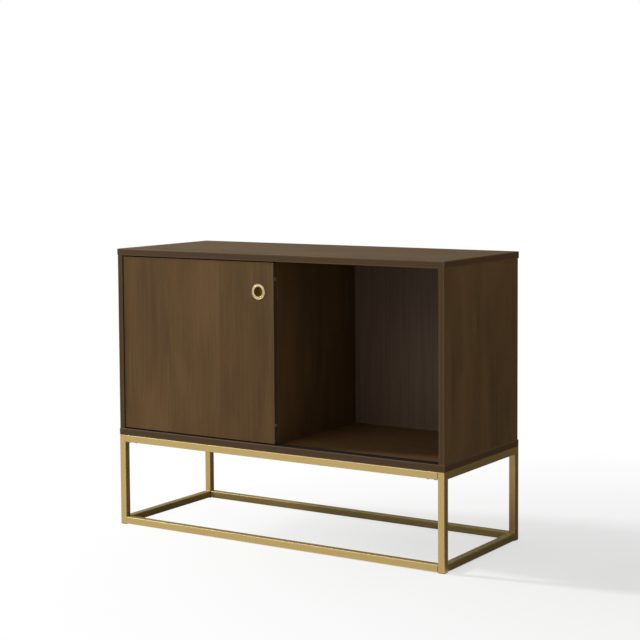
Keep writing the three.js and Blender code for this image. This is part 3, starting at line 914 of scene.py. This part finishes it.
class CABINET_OT_bumpers(bpy.types.Operator):
    """Make the silicone dots on the door's edges"""

    bl_idname = "cabinet.bumpers"
    bl_label = "Bumpers"

    RIM = 0.3 * MM

    def execute(self, context):
        sweep = np.linspace(0, QUARTER, 2 * FILLET_STEPS + 1)
        for end, side in ENDS.items():
            for level in LEVELS:
                node = f"door_bumper_{end}_{level}"
                low, high = corners(node)
                rise, _, radius = half_size(node) * [2, 1, 1]
                out = np.r_[0, radius, radius * np.cos(sweep)]
                height = np.r_[0, 0, self.RIM + (rise - self.RIM) * np.sin(sweep)]
                place = (low[0] if side > 0 else high[0], *middle(node)[1:])
                dot = turned(np.column_stack([out, height]), place, side * X_AXIS)
                dress(node, "dot", dot, "clear_silicone")
        return {"FINISHED"}


class CABINET_OT_rollers(bpy.types.Operator):
    """Make the wheels that carry the door, their axles and their housings"""

    bl_idname = "cabinet.rollers"
    bl_label = "Rollers"

    # Gaps between bore and axle, and between housing and wheel
    RUNNING = 0.08 * MM
    WHEEL_GAP = 1 * MM
    SIDE_GAP = 0.5 * MM
    # The wheel's hub and tyre stand out from its web
    HUB_RADIUS = 3.2 * MM
    WEB_RADIUS = 6.2 * MM
    WEB_DEPTH = 0.9 * MM
    # Radii of edges
    WHEEL_EDGE = 0.55 * MM
    AXLE_EDGE = 0.25 * MM
    CASE_EDGE = 0.6 * MM

    def execute(self, context):
        for end in ENDS:
            node = f"roller_axle_{end}"
            centre = middle(node)
            _, reach, radius = half_size(node)
            pin = rod(radius, -reach, reach, centre, Y_AXIS, edge=self.AXLE_EDGE)
            dress(node, "pin", pin, "zinc_plated_steel")

            node = f"roller_wheel_{end}"
            bore = radius + self.RUNNING
            low, high = corners(node)
            dress(node, "tyre", self.wheel(bore, half_size(node), centre), "black_nylon")

            node = f"roller_housing_{end}"
            case_low, case_high = corners(node)
            gaps = np.array([self.WHEEL_GAP, self.SIDE_GAP, self.WHEEL_GAP])
            slot_low, slot_high = low - gaps, high + gaps
            slot_low[2] = case_low[2] - OVERRUN
            far = reach + OVERRUN
            cuts = [block(slot_low, slot_high), rod(bore, -far, far, centre, Y_AXIS)]
            case = slab(case_low, case_high, self.CASE_EDGE, self.CASE_EDGE)
            dress(node, "case", case, "black_nylon", cuts)
        return {"FINISHED"}

    def wheel(self, bore, size, centre):
        """Wheel turned from half a section and its mirror image."""
        _, half, radius = size
        web = half - self.WEB_DEPTH
        hub, rim = self.HUB_RADIUS, self.WEB_RADIUS
        side = [(bore, half), (hub, half), (hub, web), (rim, web), (rim, half), (radius, half)]
        edges = np.r_[0, np.full(4, self.RUNNING), self.WHEEL_EDGE]
        section = np.vstack([side, side[::-1] * np.array([1, -1])])
        outline = eased(section, np.r_[edges, edges[::-1]])
        return turned(outline, centre, Y_AXIS, ROUND_COLUMNS, closed=True)


class CABINET_OT_guides(bpy.types.Operator):
    """Make the sprung pins in the door's upper edge, with their housings and springs"""

    bl_idname = "cabinet.guides"
    bl_label = "Guides"

    FLOOR = 1 * MM
    COLLAR = 2 * MM
    WALL = 1.2 * MM
    PIN_RADIUS = 2.75 * MM
    PIN_NOSE = 1.1 * MM
    SHOULDER_RISE = 1.6 * MM
    TAIL_RADIUS = 1.4 * MM
    EDGE = 0.2 * MM
    # Turns of the spring, and how much of a turn at each end doesn't climb
    TURNS = 6.5
    DEAD_TURNS = 0.75

    def execute(self, context):
        for end in ENDS:
            node = f"guide_housing_{end}"
            x, y, _ = middle(node)
            low, high = corners(node)
            place = (x, y, high[2])
            foot, outer = low[2] - high[2], half_size(node)[0]
            bore, mouth, floor = outer - self.WALL, self.PIN_RADIUS + SLIP, foot + self.FLOOR
            case = [
                (0, foot), (outer, foot), (outer, 0), (mouth, 0), (mouth, -self.COLLAR),
                (bore, -self.COLLAR), (bore, floor), (0, floor),
            ]
            outline = eased(case, self.EDGE * np.array([0, 1, 1, 1, 0, 0, 0, 0]))
            dress(node, "case", turned(outline, place, Z_AXIS), "black_nylon")

            node = f"guide_pin_{end}"
            tail, nose = corners(node)[:, 2] - high[2]
            shoulder, top = bore - LOOSE, -self.COLLAR - LOOSE
            under = top - self.SHOULDER_RISE
            pin = [
                (0, tail), (self.TAIL_RADIUS, tail), (self.TAIL_RADIUS, under),
                (shoulder, under), (shoulder, top), (self.PIN_RADIUS, top),
                (self.PIN_RADIUS, nose), (0, nose),
            ]
            edge = self.EDGE
            outline = eased(pin, [0, edge, 0, edge, edge, 0, self.PIN_NOSE, 0])
            dress(node, "plunger", turned(outline, place, Z_AXIS), "black_oxide_steel")

            self.add_spring(end, context.scene.cabinet_sizes.spring_wire)
        return {"FINISHED"}

    def add_spring(self, end, wire):
        """Round wire on a helix that the pin's stroke presses together.

        The line climbs evenly, apart from a dead part of a turn at each end, and the wire's
        section runs round it in the radial and upright directions.
        """
        node = f"guide_spring_{end}"
        low, high = corners(node)
        radius = half_size(node)[0] - wire
        turn = np.linspace(0, self.TURNS, int(self.TURNS * COIL_STEPS) + 1)[:, None]
        share = np.clip((turn - self.DEAD_TURNS) / (self.TURNS - 2 * self.DEAD_TURNS), 0, 1)
        climb = low[2] + wire + (high[2] - low[2] - 2 * wire) * share
        section = np.linspace(0, TURN, WIRE_COLUMNS, endpoint=False)
        out = radius + wire * np.cos(section)
        rings = np.stack(
            [
                middle(node)[0] + out * np.cos(TURN * turn),
                middle(node)[1] + out * np.sin(TURN * turn),
                climb + wire * np.sin(section),
            ],
            axis=-1,
        )
        piece = dress(node, "coil", loft(rings), "zinc_plated_steel", flats=False)
        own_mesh(piece)


class CABINET_OT_side_frames(bpy.types.Operator):
    """Make the legs and the side rails that are welded between them"""

    bl_idname = "cabinet.side_frames"
    bl_label = "Legs and side rails"

    def execute(self, context):
        sizes = context.scene.cabinet_sizes
        for end in ENDS:
            for face in FACES:
                node = f"leg_{face}_{end}"
                leg = tube(*corners(node), sizes.tube_wall, sizes.tube_corner)
                dress(node, "tube", leg, "sprayed_brass_paint")
            for level, side in LEVELS.items():
                node = f"side_rail_{end}_{level}"
                rail = self.welded_rail(node, end, -side, sizes)
                dress(node, "tube", rail, "sprayed_brass_paint")
        return {"FINISHED"}

    def welded_rail(self, node, end, inside, sizes):
        """Side rail whose ends follow the legs' rounded corners, with a weld on its inner side.

        Where the rail is v past the flat of the leg, its end reaches corner - sqrt(corner^2 - v^2)
        into the leg's rounding. The weld is a hollow quarter circle: at fillet * (1 - cos b) from
        the leg it stands fillet * (1 - sin b) off the rail.
        """
        low, high = corners(node)
        start = corners(f"leg_front_{end}")[1][1]
        stop = corners(f"leg_rear_{end}")[0][1]
        wall, corner = sizes.tube_wall, sizes.tube_corner
        half = half_size(node)[[2, 0]]
        outline = rounded_outline(half, corner, corner / 2)
        past = np.clip(np.abs(outline.imag) - (half[1] - corner), 0, corner)
        off, away = quarter_round(sizes.weld_fillet)
        away = np.tile(away[:, None], len(outline))
        away[0] -= corner - np.sqrt(corner**2 - past**2)
        welds = 2 * len(off)
        flat = np.ones(len(outline))
        places = np.vstack([start + away, (stop - away)[::-1], stop * flat, start * flat])
        insets = np.r_[np.zeros(welds), wall, wall]
        rings = stacked(low, high, 1, insets, places, corner, corner / 2)
        weld = inside * np.maximum(0, inside * OUTLINE_NORMALS.real)
        rings[:welds, :, 2] += np.outer(np.r_[off, off[::-1]], weld)
        return loft(rings, OUTLINE_WEAR, closed=True)


class CABINET_OT_long_rails(bpy.types.Operator):
    """Make the long rails and the sleeves on the legs that they slip over"""

    bl_idname = "cabinet.long_rails"
    bl_label = "Long rails"

    def execute(self, context):
        sizes = context.scene.cabinet_sizes
        sleeve_corner = sizes.tube_corner - sizes.tube_wall + sizes.sleeve_wall
        for face in FACES:
            for level in LEVELS:
                node = f"long_rail_{face}_{level}"
                rail = tube(*corners(node), sizes.tube_wall, sizes.tube_corner)
                dress(node, "tube", rail, "sprayed_brass_paint", self.holes(face, level, ENDS))
                for end in ENDS:
                    node = f"rail_sleeve_{face}_{end}_{level}"
                    sleeve = tube(*corners(node), sizes.sleeve_wall, sleeve_corner)
                    cuts = self.holes(face, level, [end])
                    dress(node, "tube", sleeve, "black_oxide_steel", cuts)
        return {"FINISHED"}

    def holes(self, face, level, ends):
        """Cuts for the bolts at the given ends. The lower rails have none."""
        kinds = BOLTS if level == "upper" else ()
        return [bolt_hole(kind, f"{face}_{end}") for end in ends for kind in kinds]


class CABINET_OT_bolts(bpy.types.Operator):
    """Make the button-head bolts under the ends of the upper rails"""

    bl_idname = "cabinet.bolts"
    bl_label = "Bolts"

    HEAD_RISE = 2.4 * MM
    CROWN_RADIUS = 2.3 * MM
    # Share of the head's height that its crown takes up
    CROWN_SHARE = 0.8
    # Half the width across the socket's flats
    SOCKET_FLAT = 1.5 * MM
    SOCKET_DEPTH = 1.4 * MM
    THREAD_DEPTH_SHARE = 0.6
    TIP = 0.5 * MM

    def execute(self, context):
        for corner in BASE_CORNERS:
            for kind in BOLTS:
                node = f"{kind}_bolt_{corner}"
                screw = self.bolt(node, context.scene.cabinet_sizes)
                dress(node, "screw", screw, "black_oxide_steel")
        return {"FINISHED"}

    def bolt(self, node, sizes):
        """Rows from the socket's floor, over the head and up the shank to its tip.

        The socket's radius is flat / cos(a), with a the angle from the middle of its nearest
        flat. The thread's radius falls from its crest by depth * |2 f - 1|, where f is the
        fraction of height / pitch - angle / turn.
        """
        low, high = corners(node)
        head_radius, top = half_size(node)[0], high[2] - low[2]
        angle = np.linspace(0, TURN, SMALL_COLUMNS, endpoint=False)
        hexagon = self.SOCKET_FLAT / np.cos(angle % (TURN / 6) - TURN / 12)
        sweep = np.linspace(0, QUARTER, 2 * FILLET_STEPS + 1)
        crown = self.CROWN_RADIUS + (head_radius - self.CROWN_RADIUS) * np.sin(sweep)
        brow = self.CROWN_SHARE * self.HEAD_RISE * (1 - np.cos(sweep))

        pitch = sizes.thread_pitch
        shank = top - self.TIP - self.HEAD_RISE
        steps = np.linspace(0, shank, int(shank / pitch * THREAD_STEPS) + 1)[:, None]
        climb = self.HEAD_RISE + steps + 0 * angle
        depth = self.THREAD_DEPTH_SHARE * pitch
        thread = sizes.shank_radius - depth * np.abs(2 * ((climb / pitch - angle / TURN) % 1) - 1)
        root = sizes.shank_radius - depth

        rows = [
            (0, self.SOCKET_DEPTH), (hexagon, self.SOCKET_DEPTH), (hexagon, 0),
            *zip(crown, brow), (head_radius, self.HEAD_RISE), (root, self.HEAD_RISE),
            *zip(thread, climb), (root - self.TIP / 2, top), (0, top),
        ]
        radius, height = (
            np.array([np.broadcast_to(value, len(angle)) for value in column])
            for column in zip(*rows)
        )
        return spun(radius, height, np.array([*middle(node)[:2], low[2]]), Z_AXIS)


class CABINET_OT_feet(bpy.types.Operator):
    """Make the plastic caps in the lower ends of the legs"""

    bl_idname = "cabinet.feet"
    bl_label = "Foot caps"

    FLANGE = 1.6 * MM
    EDGE = 0.5 * MM
    LEAD = 0.8 * MM

    def execute(self, context):
        sizes = context.scene.cabinet_sizes
        for corner in BASE_CORNERS:
            node = f"foot_cap_{corner}"
            low, high = corners(node)
            bore = half_size(f"leg_{corner}")[0] - sizes.tube_wall
            plug = half_size(node)[0] - (bore - SLIP)
            edge, top = self.EDGE, high[2] - low[2]
            rows = [
                *zip(*quarter_round(edge)), (0, self.FLANGE - edge / 2),
                (edge / 2, self.FLANGE), (plug, self.FLANGE), (plug, top - self.LEAD),
                (plug + self.LEAD, top),
            ]
            inset, rise = np.array(rows).T
            rings = stacked(low, high, 2, inset, low[2] + rise, sizes.tube_corner, edge)
            dress(node, "plug", loft(rings), "moulded_polyethylene")
        return {"FINISHED"}


class CABINET_OT_stage(bpy.types.Operator):
    """Make the camera, the lamps, the studio's even light, the floor and the cards"""

    bl_idname = "cabinet.stage"
    bl_label = "Stage"

    # The photograph's viewpoint: place, then heading left of +Y, look down, and lean in degrees
    CAMERA_PLACE = (2.37022, -3.62404, 1.05118)
    CAMERA_ANGLES = (32.9454, 4.0375, -0.3642)
    SENSOR_WIDTH = 36
    FOCAL_LENGTH = 91.45
    SHIFT = -0.1

    # Place and side of each lamp, and what both are aimed at
    LAMPS = {"key": ((-7.5, -1.6, 4.4), 1.0), "fill": ((-1.0, -3.8, 3.2), 2.5)}
    LAMP_AIM = (0, 0, 0.45)

    # Corners of the cards: one stands at the right and one behind, and one lies on the floor under
    # the cabinet and behind it. Only gloss shows them, and they keep off no light, so they are
    # painted reflections: the lying card paints the shadow under the cabinet into the gloss of the
    # base, the side card paints dark reflections on the right-facing sides, and the rear card dims
    # the sheen of the top faces.
    CARDS = {
        "Side card": [(0.6, -0.6, 0), (0.6, 3, 0), (0.6, 3, 2), (0.6, -0.6, 2)],
        "Lying card": [(-0.49, -0.17, 0), (3, -0.17, 0), (3, 3, 0), (-0.49, 3, 0)],
        "Rear card": [(-3, 1.2, 0), (3, 1.2, 0), (3, 1.2, 2.2), (-3, 1.2, 2.2)],
    }
    BLIND_RAYS = ("camera", "diffuse", "transmission", "volume_scatter", "shadow")

    FLOOR_RADIUS = 14
    FLOOR_SIDES = 128
    FLOOR_DROP = 0.1 * MM
    # Distances from a point in the shadow at the right between which the floor fades into the
    # white backdrop, and how far it has faded inside them
    FADE_CENTRE = (1.0, 0.05, 0)
    FADE = (0.15, 1.6)
    LEAST_FADE = 0.45

    def execute(self, context):
        scene, settings = context.scene, context.scene.cabinet_stage
        self.add_camera(scene)
        for name, (place, side) in self.LAMPS.items():
            self.add_lamp(name, place, side, getattr(settings, f"{name}_power"))
        self.add_studio(scene, settings)
        self.add_floor(settings)
        for name, outline in self.CARDS.items():
            self.add_card(name, np.array(outline), settings)
        scene.view_settings.view_transform = "Standard"
        return {"FINISHED"}

    def add_camera(self, scene):
        heading, down, lean = (math.radians(angle) for angle in self.CAMERA_ANGLES)
        lens = bpy.data.cameras.new("Camera")
        lens.sensor_fit = "HORIZONTAL"
        lens.sensor_width = self.SENSOR_WIDTH
        lens.lens = self.FOCAL_LENGTH
        lens.shift_y = self.SHIFT
        place = Matrix.Translation(self.CAMERA_PLACE)
        for turn, axis in ((heading, "Z"), (QUARTER - down, "X"), (lean, "Z")):
            place = place @ Matrix.Rotation(turn, 4, axis)
        scene.camera = shown("Camera", lens, place)

    def add_lamp(self, name, place, side, power):
        light = bpy.data.lights.new(name, "AREA")
        light.size = side
        light.energy = power
        aim = (Vector(self.LAMP_AIM) - Vector(place)).to_track_quat("-Z", "Y")
        shown(name, light, Matrix.Translation(place) @ aim.to_matrix().to_4x4())

    def backdrop_rays(self, tree):
        """One for the rays that meet the white backdrop, the camera's and glossy or clear ones."""
        ray = add_node(tree, "LightPath", out=None).outputs
        seen = ray["Is Camera Ray"]
        for kind in ("Is Glossy Ray", "Is Transmission Ray"):
            seen = add_node(tree, "Math", {0: seen, 1: ray[kind]}, operation="MAXIMUM")
        return seen

    def add_studio(self, scene, settings):
        scene.world = bpy.data.worlds.new("Studio")
        scene.world.use_nodes = True
        tree = scene.world.node_tree
        tree.nodes.clear()
        # Light from above grows with the square of the height of its direction
        way = add_node(tree, "TexCoord", out="Generated")
        rise = add_node(tree, "SeparateXYZ", {0: way}, 2)
        rise = add_node(tree, "Math", {0: rise, 1: 0.0}, operation="MAXIMUM")
        rise = add_node(tree, "Math", {0: rise, 1: 2.0}, operation="POWER")
        levels = {0: rise, 1: settings.sky_light, 2: settings.room_light}
        light = add_node(tree, "Math", levels, operation="MULTIPLY_ADD")
        room, white = (
            add_node(tree, "Background", {"Color": WHITE, "Strength": strength})
            for strength in (light, 1.0)
        )
        both = add_node(tree, "MixShader", {0: self.backdrop_rays(tree), 1: room, 2: white})
        add_node(tree, "OutputWorld", {0: both}, None)

    def add_floor(self, settings):
        angle = np.linspace(0, TURN, self.FLOOR_SIDES, endpoint=False)
        rim = self.FLOOR_RADIUS * np.column_stack([np.cos(angle), np.sin(angle), 0 * angle])
        tree = self.add_sheet("Floor", rim - self.FLOOR_DROP * Z_AXIS)
        place = add_node(tree, "TexCoord", out="Object")
        span = {0: place, 1: self.FADE_CENTRE}
        away = add_node(tree, "VectorMath", span, "Value", operation="DISTANCE")
        near, far = self.FADE
        reach = {"Value": away, "From Min": near, "From Max": far, "To Min": self.LEAST_FADE}
        fade = add_node(tree, "MapRange", reach)
        seen = self.backdrop_rays(tree)
        factor = add_node(tree, "Math", {0: fade, 1: seen}, operation="MULTIPLY")
        tints = {MIX_FACTOR: seen, MIX_FIRST: settings.bounce, MIX_SECOND: settings.floor}
        shade = add_node(tree, "Mix", tints, MIXED, data_type="RGBA")
        matt = add_node(tree, "BsdfDiffuse", {"Color": shade})
        white = add_node(tree, "Emission", {"Color": WHITE, "Strength": 1.0})
        both = add_node(tree, "MixShader", {0: factor, 1: matt, 2: white})
        add_node(tree, "OutputMaterial", {0: both}, None)

    def add_card(self, name, outline, settings):
        tree = self.add_sheet(name, outline)
        shade = getattr(settings, name.lower().replace(" ", "_"))
        matt = add_node(tree, "BsdfDiffuse", {"Color": shade})
        add_node(tree, "OutputMaterial", {0: matt}, None)
        for ray in self.BLIND_RAYS:
            setattr(bpy.data.objects[name], f"visible_{ray}", False)

    def add_sheet(self, name, points):
        """Adds a flat sheet to the stage, and gives the empty node tree of its material."""
        mesh = bpy.data.meshes.new(name)
        mesh.from_pydata(points.tolist(), [], [list(range(len(points)))])
        made = bpy.data.materials.new("studio_" + name.lower().replace(" ", "_"))
        made.use_nodes = True
        made.node_tree.nodes.clear()
        mesh.materials.append(made)
        shown(name, mesh)
        return made.node_tree


MAKERS = (
    CABINET_OT_stage, CABINET_OT_box, CABINET_OT_back, CABINET_OT_tracks, CABINET_OT_door,
    CABINET_OT_finger_cup, CABINET_OT_bumpers, CABINET_OT_rollers, CABINET_OT_guides,
    CABINET_OT_side_frames, CABINET_OT_long_rails, CABINET_OT_bolts, CABINET_OT_feet,
)

GROUPS = {
    "cabinet_sizes": CabinetSizes,
    "cabinet_colours": CabinetColours,
    "cabinet_stage": CabinetStage,
}


class CABINET_PT_sidebar(bpy.types.Panel):
    """Sizes, colours and operators of the record cabinet"""

    bl_idname = "CABINET_PT_sidebar"
    bl_label = "Record Cabinet"
    bl_space_type = "VIEW_3D"
    bl_region_type = "UI"
    bl_category = "Record Cabinet"

    def draw(self, context):
        for name, group in GROUPS.items():
            box = self.layout.box()
            for value in group.__annotations__:
                box.prop(getattr(context.scene, name), value)
        for maker in MAKERS:
            self.layout.operator(maker.bl_idname)


CLASSES = (*GROUPS.values(), *MAKERS, CABINET_PT_sidebar)


def register():
    for kind in CLASSES:
        bpy.utils.register_class(kind)
    for name, group in GROUPS.items():
        setattr(bpy.types.Scene, name, PointerProperty(type=group))


def unregister():
    for name in GROUPS:
        delattr(bpy.types.Scene, name)
    for kind in reversed(CLASSES):
        bpy.utils.unregister_class(kind)


def main():
    register()
    for maker in MAKERS:
        getattr(bpy.ops.cabinet, maker.bl_idname.split(".")[1])()


if __name__ == "__main__":
    main()
